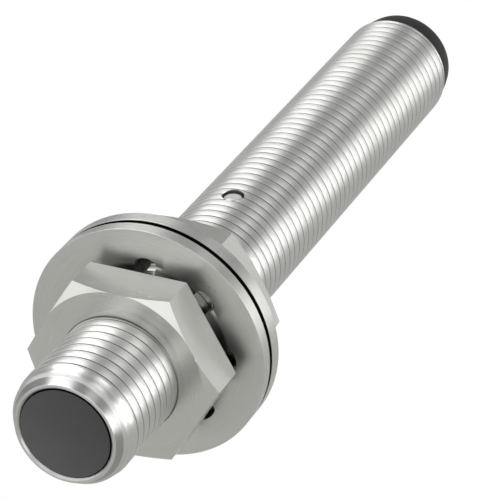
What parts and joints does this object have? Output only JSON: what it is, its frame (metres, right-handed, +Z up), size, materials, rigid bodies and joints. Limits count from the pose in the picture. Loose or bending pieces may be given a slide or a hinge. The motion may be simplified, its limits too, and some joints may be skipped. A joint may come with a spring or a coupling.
{
  "type": "inductive proximity sensor",
  "caption": "Cylindrical threaded proximity sensor with flush active face, clamped by two thin hex nuts and two internal-tooth lock washers.",
  "frame": {"origin": "centre of the active face", "axes": "+Y along the barrel from the active face to the connector end, +Z up through the status light, +X to the right seen from the active face"},
  "size_m": [0.024, 0.0845, 0.024],
  "materials": {
    "barrel": "turned, satin nickel",
    "nut": "satin nickel",
    "washer": "stamped, satin",
    "seal": "matt black",
    "active_face": "fine satin to gloss, dark grey",
    "connector_plastic": "moulded black",
    "contact_gold": "gold plated",
    "light_guide": "clear, pale",
    "ferrite": "sintered ceramic, matt",
    "bobbin_plastic": "natural",
    "copper": "enamelled copper",
    "shield_brass": "plain",
    "holder_plastic": "moulded",
    "o_ring": "nitrile rubber",
    "board": "green solder mask",
    "chip_epoxy": "moulded epoxy",
    "resistor_ceramic": "glazed",
    "capacitor_ceramic": "fired ceramic",
    "led_resin": "clear yellow resin",
    "potting": "cast resin",
    "wire_brown": "insulation",
    "wire_black": "insulation",
    "wire_blue": "insulation"
  },
  "bodies": {
    "barrel": {"barrel": "barrel", "sensing_face_cap": "active_face", "ferrite_core": "ferrite", "coil_bobbin": "bobbin_plastic", "coil_winding": "copper", "shield_ring": "shield_brass", "core_holder": "holder_plastic", "coil_lead_1": "copper", "coil_lead_2": "copper", "front_seal_ring": "o_ring", "circuit_board": "board", "sensor_ic": "chip_epoxy", "output_transistor": "chip_epoxy", "protection_diode": "chip_epoxy", "resistor_1": "resistor_ceramic", "resistor_2": "resistor_ceramic", "capacitor_1": "capacitor_ceramic", "capacitor_2": "capacitor_ceramic", "status_led": "led_resin", "light_guide": "light_guide", "potting_plug": "potting", "supply_wire": "wire_brown", "output_wire": "wire_black", "ground_wire": "wire_blue", "connector_insert": "connector_plastic", "rear_seal_ring": "o_ring", "contact_pin_1": "contact_gold", "contact_pin_2": "contact_gold", "contact_pin_3": "contact_gold", "contact_pin_4": "contact_gold"},
    "front_washer": {"front_lock_washer": "washer"},
    "front_nut": {"front_nut": "nut"},
    "rear_washer": {"rear_lock_washer": "washer", "seal_ring": "seal"},
    "rear_nut": {"rear_nut": "nut"}
  },
  "joints": [
    {"name": "front_washer_slide", "type": "slide", "parent": "barrel", "child": "front_washer", "axis": [0, 1, 0], "range_m": [-0.0096, 0]},
    {"name": "front_nut_turn", "type": "hinge", "parent": "front_washer", "child": "front_nut", "pos_m": [0, 0.01575, 0], "axis": [0, 1, 0], "range_deg": [-2880, 0]},
    {"name": "rear_washer_slide", "type": "slide", "parent": "barrel", "child": "rear_washer", "axis": [0, 1, 0], "range_m": [0, 0.0528]},
    {"name": "rear_nut_turn", "type": "hinge", "parent": "rear_washer", "child": "rear_nut", "pos_m": [0, 0.02215, 0], "axis": [0, 1, 0], "range_deg": [0, 15840]}
  ],
  "couplings": [
    {"joint": "front_nut_turn", "follows": "front_washer_slide", "rad_per_m": 5236},
    {"joint": "rear_nut_turn", "follows": "rear_washer_slide", "rad_per_m": 5236}
  ]
}
